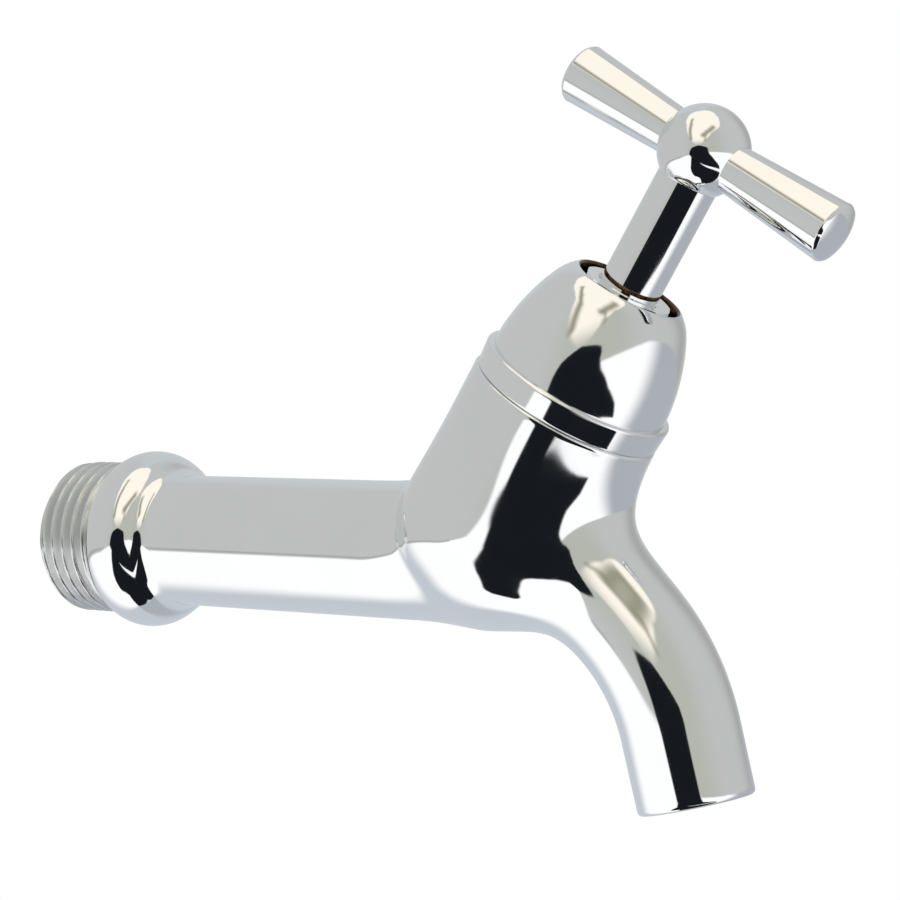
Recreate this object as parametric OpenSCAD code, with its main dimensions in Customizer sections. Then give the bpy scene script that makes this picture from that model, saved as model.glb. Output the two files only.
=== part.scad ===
// Wall bib tap with a tilted head, a domed cover and a tee handle.
// Origin at the centre of the inlet end face, +X from the wall to the user, +Z up.

/* [Inlet tail] */
// Major diameter of the inlet thread
inlet_thread_d = 20.955; // [16:0.005:27]
// Length of the inlet thread
inlet_thread_len = 9.8; // [7:0.1:14]
// Bore of the inlet
inlet_bore_d = 12.4; // [8:0.1:13]
// Outside of the horizontal barrel
tail_d = 17.7; // [16:0.1:20]
// Outside of the bead behind the thread
bead_d = 24.2; // [22:0.1:30]
// Radius of the bead's rounded section
bead_arc = 5; // [4:0.1:6]
// Fillet from the bead to the barrel
bead_fillet = 3; // [1:0.1:5]

/* [Head] */
// Where the head axis meets the tail axis
head_x = 68; // [61:0.1:90]
// Rise of the head axis from level
head_rise = 58; // [50:0.5:65]
// Outside of the head barrel
head_d = 24.6; // [23:0.1:28]
// Joint face of the head above the tail axis, along the head
head_len = 22.1; // [21.5:0.1:26]
// Set of the cast head back from its axis
head_set = 0.15; // [0:0.05:0.5]
// Height of the machined ring under the joint face
ring_h = 2; // [1.5:0.1:4]
// Start of the rounded belly, along the head
belly_start = 2.9; // [1:0.1:4]
// Depth of the rounded belly
belly_depth = 10.8; // [10:0.1:12]

/* [Spout] */
// Where the spout starts to bend
spout_x = 69.7; // [68:0.1:73]
// Bend of the spout axis
spout_bend = 26.5; // [24:0.1:32]
// Angle the spout turns down
spout_turn = 75.6; // [65:0.1:88]
// Straight end of the spout
spout_end = 8.9; // [6:0.1:20]
// Outside of the spout at the root
spout_root_d = 14.8; // [14.5:0.1:18]
// Outside of the spout at the tip
spout_tip_d = 14.2; // [13.6:0.1:17]
// Passage cast through the spout's bend
passage_d = 10; // [8:0.1:10.4]
// Angle along the bend where that passage starts
passage_start = 16.4; // [15:0.1:18]
// Bore of the outlet
outlet_bore_d = 11; // [10.6:0.1:12]
// Rounding of the spout's lip
lip_round = 0.6; // [0.2:0.1:1]
// Length of the machined tip
tip_h = 3; // [2:0.1:5]

/* [Blends] */
// Length of tail that belongs to the blended casting
blend_reach = 26; // [22:0.5:32]
// Blend of the head into the tail
blend_back = 1.5; // [1:0.1:5]
// Blend of the head into the top of the spout
blend_front = 14.1; // [6:0.1:16]
// Blend under the spout's bend
blend_under = 7.8; // [3:0.1:10]
// Width over which the front blend gives way to the one underneath
blend_change = 6; // [3:0.5:12]

/* [Valve seat] */
// Height of the seat floor along the head
seat_floor = 6; // [5:0.1:7]
// Thickness of the wall under the seat floor
seat_wall = 2.7; // [2:0.1:3.5]
// Opening through the seat
seat_bore_d = 9.5; // [8:0.1:10]
// Width of the raised seat lip
seat_lip_w = 0.95; // [0.6:0.05:1.2]
// Height of the raised seat lip
seat_lip_h = 0.8; // [0.4:0.1:1]
// Diameter of the chamber under the seat
under_chamber_d = 11.6; // [10.5:0.1:12]
// Depth of that chamber below the tail axis, along the head
under_depth = 4.5; // [3:0.1:5]

/* [Headwork] */
// Thread of the bonnet in the head
bonnet_thread_d = 16.66; // [15:0.01:18]
// Lower end of the bonnet along the head
bonnet_low = 16.6; // [16.3:0.1:18]
// Thickness of the bonnet washer
bonnet_washer_t = 1; // [0.5:0.1:1.5]
// Threaded collar that carries the cover
collar_d = 19.2; // [18:0.1:20]
// Height of that collar
collar_h = 3.9; // [2.5:0.1:4]
// Spanner size of the bonnet
bonnet_af = 16; // [14:0.1:16.4]
// Height of the bonnet hexagon
bonnet_hex_h = 4.5; // [3:0.1:5]
// Neck of the bonnet above the hexagon
neck_d = 13.6; // [13.2:0.1:14.4]
// Height of the neck
neck_h = 3; // [2:0.1:3.5]
// Stuffing box bore
box_d = 11.2; // [10:0.1:11.6]
// Depth of the stuffing box
box_depth = 4.5; // [4:0.1:5]
// Web between the spindle thread and the stuffing box
box_web = 1.5; // [1:0.1:2]
// Height of the gland packing
packing_h = 2.5; // [1.5:0.1:3]
// Thickness of the gland washer
gland_washer_t = 0.8; // [0.4:0.1:1]
// Spanner size of the gland nut
gland_af = 11; // [10.6:0.1:11.2]
// Gap left under the gland nut for tightening
gland_gap = 0.5; // [0.2:0.1:1]
// Height of the gland nut's hexagon
gland_h = 3.2; // [2:0.1:3.5]

/* [Cover] */
// Outside of the base band
band_d = 24.4; // [23:0.1:26]
// Height of the base band
band_h = 3.3; // [3:0.1:5]
// Edge rounding of the base band
band_round = 0.4; // [0.1:0.05:0.6]
// Step from the band in to the dome
band_step = 0.6; // [0.3:0.05:1]
// Height of the dome's greatest diameter above the joint
dome_mid = 2.3; // [1:0.1:3]
// Radius of the dome's side
dome_side_r = 26.8; // [24:0.1:32]
// Angle where the side turns into the shoulder
dome_angle = 25.6; // [22:0.1:29]
// Radius of the dome's shoulder
dome_shoulder_r = 6.9; // [6:0.1:8]
// Opening round the stem
opening_d = 13; // [12.8:0.1:14.4]
// Wall of the cover
cover_wall = 1.2; // [0.8:0.1:1.4]

/* [Spindle] */
// Diameter of the stem
stem_d = 7.5; // [6:0.1:8.4]
// Thread of the spindle in the bonnet
spindle_thread_d = 10; // [9:0.1:10.6]
// Length of the spindle's threaded part
spindle_thread_len = 11.7; // [10:0.1:12]
// Square at the top of the stem
square_af = 5.2; // [4.5:0.1:5.5]
// Length of that square
square_len = 6.2; // [5:0.1:7]
// Pin of the jumper in the spindle
pin_d = 4.4; // [3:0.1:5]
// Length of that pin
pin_len = 7.2; // [5:0.1:8]
// Room left past the end of the pin
pin_room = 1; // [0.5:0.1:2]

/* [Jumper] */
// Diameter of the valve washer
valve_washer_d = 13.6; // [12.5:0.1:14.2]
// Thickness of the valve washer
valve_washer_t = 3.5; // [2.5:0.1:4]
// Diameter of the jumper plate
plate_d = 13.8; // [12.5:0.1:14.4]
// Thickness of the jumper plate
plate_t = 2; // [1.2:0.1:2]
// Stud through the valve washer
stud_d = 3.8; // [3:0.1:4]
// Length of the stud past the washer
stud_over = 2.3; // [2:0.1:3]
// Spanner size of the washer nut
nut_af = 5.5; // [5:0.1:7]
// Height of the washer nut
nut_h = 1.9; // [1.5:0.1:2]

/* [Handle] */
// Centre of the ball along the head
ball_s = 57.1; // [54:0.1:62]
// Diameter of the ball
ball_d = 11.1; // [10.6:0.1:14]
// Half length of the tee bar
arm_len = 20.5; // [16:0.1:30]
// Diameter of an arm at the ball
arm_root_d = 5.9; // [5:0.1:7]
// Diameter of an arm at its end
arm_end_d = 7.5; // [6:0.1:9]
// Height of the domed end
arm_dome_h = 1; // [0.6:0.1:3]
// Stud of an arm in the ball
arm_stud_d = 3.2; // [2.5:0.1:4]

/* [Fits] */
// Clearance of a turning or sliding shaft
run_gap = 0.05; // [0.02:0.01:0.1]
// Clearance of a fixed thread or spigot
fix_gap = 0.04; // [0.02:0.01:0.1]
// Step from a machined ring down to the cast surface
cast_step = 0.05; // [0.03:0.01:0.15]

/* [Hidden] */
$fn = 96;
eps = 1;
inlet_thread_r = inlet_thread_d / 2;
tail_r = tail_d / 2;
band_r = band_d / 2;
bead_y = bead_d / 2 - bead_arc;
bead_x = inlet_thread_len + sqrt(pow(bead_arc, 2) - pow(inlet_thread_r - bead_y, 2));
fillet_x = bead_x + sqrt(pow(bead_arc + bead_fillet, 2) - pow(tail_r + bead_fillet - bead_y, 2));
tail_end = head_x - blend_reach;
head_r = head_d / 2;
spout_arc = spout_bend * spout_turn * PI / 180;
bonnet_seat = head_len + bonnet_washer_t;
collar_top = bonnet_seat + collar_h;
hex_top = collar_top + bonnet_hex_h;
neck_top = hex_top + neck_h;
box_floor = neck_top - box_depth;
thread_stop = box_floor - box_web;
packing_top = box_floor + packing_h;
gland_low = packing_top + gland_washer_t;
gland_seat = neck_top + gland_gap;
washer_low = seat_floor + seat_lip_h;
plate_low = washer_low + valve_washer_t;
plate_top = plate_low + plate_t;
stem_seat = sqrt(pow(ball_d / 2, 2) - pow(stem_d / 2, 2));
hub_low = ball_s - stem_seat;
arm_seat = sqrt(pow(ball_d / 2, 2) - pow(arm_root_d / 2, 2));
dome_d = band_d - 2 * band_step;
side_x = dome_d / 2 - dome_side_r;
tangent_y = dome_mid + dome_side_r * sin(dome_angle);
shoulder_x = side_x + (dome_side_r - dome_shoulder_r) * cos(dome_angle);
shoulder_y = dome_mid + (dome_side_r - dome_shoulder_r) * sin(dome_angle);
cell_n = 48;
tail_rows = 6;
head_rows = 9;
spout_rows = 16;
junction = [head_x + 2, 0, 1];
back_ray = 119;
front_ray = 8;
under_ray = -72;
ray_reach = 40;
ray_halvings = 18;
lean_rate = 1.6;
leave_rate = 4;
head_dir = [cos(head_rise), 0, sin(head_rise)];
front_dir = [sin(head_rise), 0, -cos(head_rise)];

// Smooth least of two distances with a blend length
function blend(a, b, k) = min(a, b) - pow(max(k - abs(a - b), 0), 3) / (6 * k * k);
function smooth(t) = t * t * (3 - 2 * t);
function clip(t) = min(1, max(0, t));

// Distance to the horizontal barrel
function d_tail(p) = norm([max(p.x - head_x, 0), p.y, p.z]) - tail_r + cast_step;

// Distance to the head barrel with its rounded belly
function d_head(p) = let(
  v = p - [head_x, 0, 0] + head_set * front_dir,
  s = v * head_dir,
  out = norm(v - s * head_dir),
  r = head_r - cast_step)
  s > belly_start ? out - r : norm([out, (s - belly_start) * r / belly_depth]) - r;

// Centre line of the spout at an arc length
function spout_at(l) = let(
  a = min(l / spout_bend * 180 / PI, spout_turn),
  e = max(l - spout_arc, 0))
  [spout_x + spout_bend * sin(a) + e * cos(a), 0, spout_bend * (cos(a) - 1) - e * sin(a)];

// Arc length of the point of the centre line nearest to p
function spout_len(p) = let(
  a = atan2(p.x - spout_x, p.z + spout_bend),
  e = spout_at(spout_arc),
  over = (p.x - e.x) * cos(spout_turn) - (p.z - e.z) * sin(spout_turn))
  over > 0 && p.z < 0 ? spout_arc + over : spout_bend * min(max(a, 0), spout_turn) * PI / 180;

function d_spout(p) = let(
  l = spout_len(p),
  w = clip(l / (spout_arc + spout_end)))
  norm(p - spout_at(l)) - (spout_root_d + (spout_tip_d - spout_root_d) * w) / 2 + cast_step;

// Blended casting: negative inside
function casting_d(p) = let(
  side = norm([p.x - spout_x, p.z + spout_bend]) - spout_bend,
  k = blend_under + (blend_front - blend_under) * smooth(clip(side / blend_change + 0.5)))
  blend(blend(d_tail(p), d_head(p), blend_back), d_spout(p), k);

// Point of the casting on a ray, by halving
function cast(o, d, lo = 0, hi = ray_reach, n = ray_halvings) = let(mid = (lo + hi) / 2)
  n == 0 ? o + mid * d :
  casting_d(o + mid * d) < 0 ? cast(o, d, mid, hi, n - 1) : cast(o, d, lo, mid, n - 1);

// Ray i of a ring whose upper and lower halves lean to two angles
function ray(i, up, low) = let(
  a = 360 * i / cell_n,
  b = sin(a) >= 0 ? up : low)
  [abs(sin(a)) * cos(b), cos(a), abs(sin(a)) * sin(b)];
function ring(o, up, low) = [for (i = [0:cell_n - 1]) cast(o, ray(i, up, low))];
function arc_points(a) = [for (i = [1:cell_n / 2 - 1]) cast(junction, ray(i, a, a))];
function mix(a, b, t) = a + (b - a) * t;

tail_rim = [tail_end - eps, 0, 0];
head_rim = [head_x, 0, 0] + (head_len - eps) * head_dir - head_set * front_dir;
spout_rim = spout_arc + spout_end - eps;
function tail_ring(t) =
  ring(mix(junction, tail_rim, t), mix(back_ray, 90, t), mix(under_ray, -90, t));
function head_ring(t) =
  ring(mix(junction, head_rim, t), mix(back_ray, head_rise + 90, t), mix(front_ray, head_rise - 90, t));
function spout_ring(t) = let(
  l = spout_rim * t,
  g = min(l / spout_bend * 180 / PI, spout_turn),
  w = smooth(clip(lean_rate * t)))
  ring(mix(junction, spout_at(l), clip(leave_rate * t)),
    mix(front_ray, 90 - g, w), mix(under_ray, -90 - g, w));

// Index of point i in row j of a tube; row 0 is shared by the three tubes
half_n = cell_n / 2 - 1;
function shared(i, up, low) = i == 0 ? 0 : i == cell_n / 2 ? 1 :
  i < cell_n / 2 ? 1 + up * half_n + i : 1 + low * half_n + cell_n - i;
function at(i, j, first, up, low) = j == 0 ? shared(i % cell_n, up, low) :
  first + (j - 1) * cell_n + i % cell_n;
function tube_faces(rows, first, up, low, turn) = [
  for (j = [0:rows - 1], i = [0:cell_n - 1]) let(
    a = at(i, j, first, up, low),
    b = at(i + 1, j, first, up, low),
    c = at(i + 1, j + 1, first, up, low),
    d = at(i, j + 1, first, up, low))
    each turn ? [[a, b, c], [a, c, d]] : [[a, c, b], [a, d, c]]];
function end_face(rows, first, turn) = [for (i = [0:cell_n - 1])
  first + (rows - 1) * cell_n + (turn ? i : cell_n - 1 - i)];

module casting() {
  t0 = 2 + 3 * half_n;
  h0 = t0 + tail_rows * cell_n;
  s0 = h0 + head_rows * cell_n;
  points = concat(
    [cast(junction, [0, 1, 0]), cast(junction, [0, -1, 0])],
    arc_points(back_ray),
    arc_points(front_ray),
    arc_points(under_ray),
    [for (j = [1:tail_rows]) each tail_ring(j / tail_rows)],
    [for (j = [1:head_rows]) each head_ring(j / head_rows)],
    [for (j = [1:spout_rows]) each spout_ring(j / spout_rows)]);
  faces = concat(
    tube_faces(tail_rows, t0, 0, 2, true),
    tube_faces(head_rows, h0, 0, 1, false),
    tube_faces(spout_rows, s0, 1, 2, false),
    [end_face(tail_rows, t0, true)],
    [end_face(head_rows, h0, false)],
    [end_face(spout_rows, s0, false)]);
  polyhedron(points, faces, convexity = 6);
}

// Local +Z runs up the head axis, local +X to the front of the tee bar
module on_head(s = 0) {
  translate([head_x, 0, 0])
    rotate([0, 90 - head_rise, 0])
      translate([0, 0, s])
        children();
}

// Local +Z runs out of the spout
module on_tip() {
  translate(spout_at(spout_arc + spout_end))
    rotate([0, 90 + spout_turn, 0])
      children();
}

module tube(low, high, out_d, in_d) {
  translate([0, 0, low])
    difference() {
      cylinder(d = out_d, h = high - low);
      translate([0, 0, -eps])
        cylinder(d = in_d, h = high - low + 2 * eps);
    }
}

module hexagon(af, h) {
  cylinder(d = af / cos(30), h = h, $fn = 6);
}

// Half section of the tail: thread, bead, fillet and barrel
module tail_section() {
  square([inlet_thread_r, bead_x]);
  square([tail_r, tail_end]);
  intersection() {
    translate([bead_y, bead_x])
      circle(r = bead_arc);
    square([bead_d, fillet_x]);
  }
  difference() {
    polygon([[bead_y - eps, bead_x], [bead_y, bead_x], [tail_r + bead_fillet, fillet_x],
      [tail_r - eps, fillet_x]]);
    translate([tail_r + bead_fillet, fillet_x])
      circle(r = bead_fillet);
  }
}

// Half section of the spout's lip
module lip_section() {
  tip_r = spout_tip_d / 2;
  square([tip_r, tip_h - lip_round]);
  square([tip_r - lip_round, tip_h]);
  translate([tip_r - lip_round, tip_h - lip_round])
    circle(r = lip_round);
}

module spout_passage() {
  translate([spout_x, 0, -spout_bend])
    rotate([90, 0, 0])
      rotate([0, 0, 90 - spout_turn])
        rotate_extrude(angle = spout_turn - passage_start)
          translate([spout_bend, 0])
            circle(d = passage_d);
  on_tip()
    translate([0, 0, -spout_end - eps])
      cylinder(d = outlet_bore_d, h = spout_end + 2 * eps);
}

module tap_body() {
  color([0.8, 0.82, 0.84]) {
    difference() {
      union() {
        rotate([0, 90, 0])
          rotate_extrude()
            tail_section();
        casting();
        on_head(head_len - ring_h)
          translate([-head_set, 0, 0])
            cylinder(r = head_r, h = ring_h);
        on_tip()
          translate([0, 0, -tip_h])
            rotate_extrude()
              lip_section();
      }
      rotate([0, 90, 0])
        translate([0, 0, -eps])
          cylinder(d = inlet_bore_d, h = head_x - under_depth + eps);
      on_head(-under_depth)
        cylinder(d = under_chamber_d, h = under_depth + seat_floor - seat_wall);
      on_head(0)
        cylinder(d = seat_bore_d, h = head_len);
      on_head(seat_floor)
        cylinder(d = bonnet_thread_d + 2 * fix_gap, h = head_len);
      spout_passage();
    }
    on_head()
      tube(seat_floor - seat_wall / 2, washer_low, seat_bore_d + 2 * seat_lip_w, seat_bore_d);
  }
}

module bonnet_washer() {
  color([0.45, 0.3, 0.22])
    on_head()
      tube(head_len, bonnet_seat, collar_d, bonnet_thread_d + 2 * fix_gap);
}

module bonnet() {
  color([0.8, 0.62, 0.3])
    on_head()
      difference() {
        union() {
          translate([0, 0, bonnet_low])
            cylinder(d = bonnet_thread_d, h = bonnet_seat - bonnet_low + collar_h);
          translate([0, 0, bonnet_seat])
            cylinder(d = collar_d, h = collar_h);
          translate([0, 0, collar_top])
            hexagon(bonnet_af, bonnet_hex_h);
          translate([0, 0, collar_top])
            cylinder(d = neck_d, h = neck_top - collar_top);
        }
        translate([0, 0, bonnet_low - eps])
          cylinder(d = spindle_thread_d + 2 * run_gap, h = thread_stop - bonnet_low + eps);
        translate([0, 0, bonnet_low])
          cylinder(d = stem_d + 2 * run_gap, h = neck_top - bonnet_low);
        translate([0, 0, box_floor])
          cylinder(d = box_d, h = box_depth + eps);
      }
}

module gland_packing() {
  color([0.2, 0.2, 0.2])
    on_head()
      tube(box_floor, packing_top, box_d - 2 * fix_gap, stem_d + 2 * run_gap);
}

module gland_washer() {
  color([0.8, 0.62, 0.3])
    on_head()
      tube(packing_top, gland_low, box_d - 2 * fix_gap, stem_d + 2 * run_gap);
}

module gland_nut() {
  color([0.82, 0.64, 0.32])
    on_head()
      difference() {
        union() {
          translate([0, 0, gland_low])
            cylinder(d = box_d - 2 * fix_gap, h = gland_seat - gland_low);
          translate([0, 0, gland_seat])
            hexagon(gland_af, gland_h);
        }
        translate([0, 0, gland_low - eps])
          cylinder(d = stem_d + 2 * run_gap, h = gland_seat - gland_low + gland_h + 2 * eps);
      }
}

// Half section of the dome, drawn in by a wall
module dome_section(wall) {
  intersection() {
    translate([side_x, dome_mid])
      circle(r = dome_side_r - wall);
    square([dome_d, tangent_y]);
  }
  intersection() {
    translate([shoulder_x, shoulder_y])
      circle(r = dome_shoulder_r - wall);
    translate([0, shoulder_y])
      square(dome_d);
  }
}

// Half section of the base band with rounded edges
module band_section() {
  square([band_r - band_round, band_h]);
  translate([0, band_round])
    square([band_r, band_h - 2 * band_round]);
  translate([band_r - band_round, band_round])
    circle(r = band_round);
  translate([band_r - band_round, band_h - band_round])
    circle(r = band_round);
}

module dome_cover() {
  color([0.8, 0.82, 0.84])
    on_head(head_len)
      rotate_extrude()
        difference() {
          union() {
            band_section();
            dome_section(0);
          }
          intersection() {
            dome_section(cover_wall);
            translate([0, bonnet_washer_t + collar_h])
              square(dome_d);
          }
          square([collar_d / 2 + fix_gap, bonnet_washer_t + collar_h + eps]);
          square([opening_d / 2, dome_side_r]);
        }
}

module spindle() {
  color([0.8, 0.82, 0.84])
    on_head()
      difference() {
        union() {
          translate([0, 0, plate_top])
            cylinder(d = spindle_thread_d, h = spindle_thread_len);
          translate([0, 0, plate_top])
            cylinder(d = stem_d, h = hub_low - plate_top);
          translate([-square_af / 2, -square_af / 2, hub_low - eps])
            cube([square_af, square_af, square_len + eps]);
        }
        translate([0, 0, plate_top - eps])
          cylinder(d = pin_d + 2 * run_gap, h = pin_len + pin_room + eps);
      }
}

module jumper() {
  color([0.8, 0.62, 0.3])
    on_head() {
      translate([0, 0, plate_low])
        cylinder(d = plate_d, h = plate_t);
      translate([0, 0, plate_low])
        cylinder(d = pin_d, h = plate_t + pin_len);
      translate([0, 0, washer_low - stud_over])
        cylinder(d = stud_d, h = valve_washer_t + stud_over + plate_t);
    }
}

module valve_washer() {
  color([0.12, 0.12, 0.12])
    on_head()
      tube(washer_low, plate_low, valve_washer_d, stud_d + 2 * fix_gap);
}

module washer_nut() {
  color([0.8, 0.62, 0.3])
    on_head(washer_low - nut_h)
      difference() {
        hexagon(nut_af, nut_h);
        translate([0, 0, -eps])
          cylinder(d = stud_d + 2 * fix_gap, h = nut_h + 2 * eps);
      }
}

module handle_ball() {
  hole = square_af + 2 * fix_gap;
  color([0.8, 0.82, 0.84])
    on_head(ball_s)
      difference() {
        sphere(d = ball_d);
        for (turn = [-90, 90, 180])
          rotate([0, turn, 0])
            translate([-ball_d / 2, -ball_d / 2, turn == 180 ? stem_seat : arm_seat])
              cube(ball_d);
        rotate([0, 90, 0])
          translate([0, 0, -arm_seat - eps])
            cylinder(d = arm_stud_d + 2 * fix_gap, h = 2 * (arm_seat + eps));
        translate([-hole / 2, -hole / 2, -stem_seat - eps])
          cube([hole, hole, square_len + fix_gap + eps]);
      }
}

// Half section of an arm from its seat on the ball to its domed end
module arm_section() {
  end_r = arm_end_d / 2;
  cap_r = (pow(end_r, 2) + pow(arm_dome_h, 2)) / (2 * arm_dome_h);
  rim = arm_len - arm_dome_h;
  polygon([[0, arm_seat], [arm_root_d / 2, arm_seat], [end_r, rim], [0, rim]]);
  intersection() {
    translate([0, arm_len - cap_r])
      circle(r = cap_r);
    translate([0, rim])
      square([end_r, arm_dome_h]);
  }
  translate([0, square_af / 2 + fix_gap])
    square([arm_stud_d / 2, arm_seat - square_af / 2]);
}

module arm(turn) {
  color([0.8, 0.82, 0.84])
    on_head(ball_s)
      rotate([0, turn, 0])
        rotate_extrude()
          arm_section();
}

module arm_rear() {
  arm(-90);
}

module arm_front() {
  arm(90);
}

tap_body();
bonnet_washer();
bonnet();
gland_packing();
gland_washer();
gland_nut();
dome_cover();
spindle();
jumper();
valve_washer();
washer_nut();
handle_ball();
arm_rear();
arm_front();
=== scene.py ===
import bmesh
import bpy
import numpy as np
from mathutils import Matrix


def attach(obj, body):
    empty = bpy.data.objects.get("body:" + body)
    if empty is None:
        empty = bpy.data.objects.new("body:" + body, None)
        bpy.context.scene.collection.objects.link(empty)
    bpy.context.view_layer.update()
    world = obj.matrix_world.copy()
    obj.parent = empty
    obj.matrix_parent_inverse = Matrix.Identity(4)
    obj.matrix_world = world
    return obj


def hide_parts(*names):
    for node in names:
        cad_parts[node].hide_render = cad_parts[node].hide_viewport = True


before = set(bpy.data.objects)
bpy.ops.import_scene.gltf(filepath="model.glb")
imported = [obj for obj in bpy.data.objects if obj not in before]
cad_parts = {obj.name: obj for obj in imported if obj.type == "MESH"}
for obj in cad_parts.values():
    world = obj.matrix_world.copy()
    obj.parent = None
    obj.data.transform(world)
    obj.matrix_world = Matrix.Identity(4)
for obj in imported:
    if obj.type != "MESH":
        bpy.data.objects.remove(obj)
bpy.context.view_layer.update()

scene = bpy.context.scene
scene.view_settings.view_transform = "Standard"


# Camera: a long lens, nearly level, that looks at the tap's side from 34 degrees
# round towards the spout, so that the tail runs away to the left and the front
# arm of the tee bar comes forward on the right.
camera_turn, camera_rise = np.radians([33.80, 1.35])
camera_spot = (0.21982, -0.23506, 0.01959)
camera_back = np.array([
    np.sin(camera_turn) * np.cos(camera_rise),
    -np.cos(camera_turn) * np.cos(camera_rise),
    np.sin(camera_rise)])
camera_right = np.array([np.cos(camera_turn), np.sin(camera_turn), 0.0])
camera_place = np.eye(4)
camera_place[:3, 0] = camera_right
camera_place[:3, 1] = np.cross(camera_back, camera_right)
camera_place[:3, 2] = camera_back
camera_place[:3, 3] = camera_spot
lens = bpy.data.cameras.new("camera")
lens.sensor_width = 36.0
lens.lens = 89.58
lens.clip_start = 0.01
camera = bpy.data.objects.new("camera", lens)
scene.collection.objects.link(camera)
camera.matrix_world = Matrix(camera_place.tolist())
scene.camera = camera


# Tap body: one hollow brass casting of tail, raked head and bent spout, ground
# and polished until the three run into each other, then chromium plated. The
# inlet thread is cut on the tail's end, up to a turned bead. Lengths are in mm.
mm = 0.001
thread_r, thread_root_r, thread_pitch, thread_len = 10.4775, 9.3155, 1.814, 9.8
thread_end_r, thread_end_slope, thread_run_out = 8.9, 0.9, 0.4
flank_slope, flank_foot, flank_straight, thread_rows = 2.7, 0.175, 0.4, 109
tail_r = 8.85
bead_r, bead_arc_r, bead_fillet_r, barrel_rings = 12.1, 5.0, 3.0, 26
head_x, head_rise, head_top = 68.0, np.radians(58.0), 22.1
head_r, head_set, joint_round = 12.3, 0.15, 0.3
belly_start, belly_depth = 2.9, 10.8
spout_x, spout_bend, spout_turn, spout_end = 69.7, 26.5, np.radians(75.6), 8.9
spout_root_r, spout_tip_r, lip_round = 7.4, 7.1, 0.6
blend_back, blend_front, blend_under, blend_change = 1.5, 14.1, 7.8, 6.0
tail_join = 42.0
body_around, body_crease, weld_per_mm = 160, 32.0, 1e4
ray_len, ray_halvings = 40.0, 34

side_dir = np.array([0.0, 1.0, 0.0])
tail_dir = np.array([1.0, 0.0, 0.0])
head_dir = np.array([np.cos(head_rise), 0.0, np.sin(head_rise)])
front_dir = np.array([np.sin(head_rise), 0.0, -np.cos(head_rise)])
spout_dir = np.array([np.cos(spout_turn), 0.0, -np.sin(spout_turn)])
head_foot = np.array([head_x, 0.0, 0.0])
spout_arc = spout_bend * spout_turn
body_angle = np.arange(body_around) * 2 * np.pi / body_around


def eased(t):
    """Smooth step from 0 to 1: 3 t squared less 2 t cubed, with t held in 0..1."""
    t = np.clip(t, 0, 1)
    return t * t * (3 - 2 * t)


def run_together(a, b, reach):
    """Lesser of two distances, less (reach - |a - b|) cubed over 6 reach squared,
    which rounds the inner corner between the two forms."""
    return np.minimum(a, b) - np.maximum(reach - np.abs(a - b), 0) ** 3 / (6 * reach ** 2)


def spout_line(length):
    """Centre line of the spout at a length from its root: a circular arc that
    bends down, then a straight end that leaves the arc along its tangent."""
    turn = np.minimum(length / spout_bend, spout_turn)
    over = np.maximum(length - spout_arc, 0)
    return np.stack([
        spout_x + spout_bend * np.sin(turn) + over * np.cos(turn),
        np.zeros_like(turn),
        spout_bend * (np.cos(turn) - 1) - over * np.sin(turn)], -1)


def casting_distance(p):
    """Distance to the outside of the casting, below zero inside: a barrel along
    X, a raked barrel closed by half an ellipsoid, and a canal round the spout's
    centre line, run together with a reach that differs above and below it."""
    x, y, z = p[..., 0], p[..., 1], p[..., 2]
    tail = np.sqrt(np.maximum(x - head_x, 0) ** 2 + y * y + z * z) - tail_r
    v = p - head_foot + head_set * front_dir
    up = v @ head_dir
    out = np.sqrt(np.maximum((v * v).sum(-1) - up * up, 0))
    under = np.minimum(up - belly_start, 0) * head_r / belly_depth
    head = np.hypot(out, under) - head_r
    bend_end = spout_line(np.array(spout_arc))
    over = (p - bend_end) @ spout_dir
    turn = np.clip(np.arctan2(x - spout_x, z + spout_bend), 0, spout_turn)
    length = np.where((over > 0) & (z < 0), spout_arc + over, spout_bend * turn)
    along = np.clip(length / (spout_arc + spout_end), 0, 1)
    spout = np.linalg.norm(p - spout_line(length), axis=-1)
    spout = spout - spout_root_r - (spout_tip_r - spout_root_r) * along
    above = np.hypot(x - spout_x, z + spout_bend) - spout_bend
    reach = blend_under + (blend_front - blend_under) * eased(above / blend_change + 0.5)
    return run_together(run_together(tail, head, blend_back), spout, reach)


def cast_rings(middle, upper, lower):
    """Rings of the casting: rays leave each middle point in the half planes that
    lean to the angles upper and lower in the XZ plane, and halving the interval
    finds where each one comes out of the casting."""
    lean = np.where(np.sin(body_angle) >= 0, upper[:, None], lower[:, None])
    flat = np.abs(np.sin(body_angle))
    ray = np.stack([
        flat * np.cos(lean), np.cos(body_angle) + 0 * lean, flat * np.sin(lean)], -1)
    near = np.zeros(ray.shape[:2])
    far = np.full(ray.shape[:2], ray_len)
    for halving in range(ray_halvings):
        half = (near + far) / 2
        inside = casting_distance(middle[:, None] + half[..., None] * ray) < 0
        near, far = np.where(inside, half, near), np.where(inside, far, half)
    return middle[:, None] + near[..., None] * ray


def arc(centre, radius, start, stop, count):
    """Points of a circular arc between two angles in degrees, as (along, out) rows:
    the centre plus the radius times cosine and sine."""
    angle = np.radians(np.linspace(start, stop, count))
    return np.array(centre) + radius * np.stack([np.cos(angle), np.sin(angle)], -1)


def turned(along, out, foot, axis, around):
    """Turned surface: a ring of radius out at each distance along the axis from
    its foot. Out holds one radius for a ring, or one for each point of the ring."""
    angle = np.arange(around) * 2 * np.pi / around
    other = np.cross(axis, side_dir)
    out = np.broadcast_to(np.reshape(out, (len(along), -1)), (len(along), around))
    ring = np.cos(angle)[:, None] * side_dir + np.sin(angle)[:, None] * other
    return foot + np.asarray(along)[:, None, None] * axis + out[..., None] * ring


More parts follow.
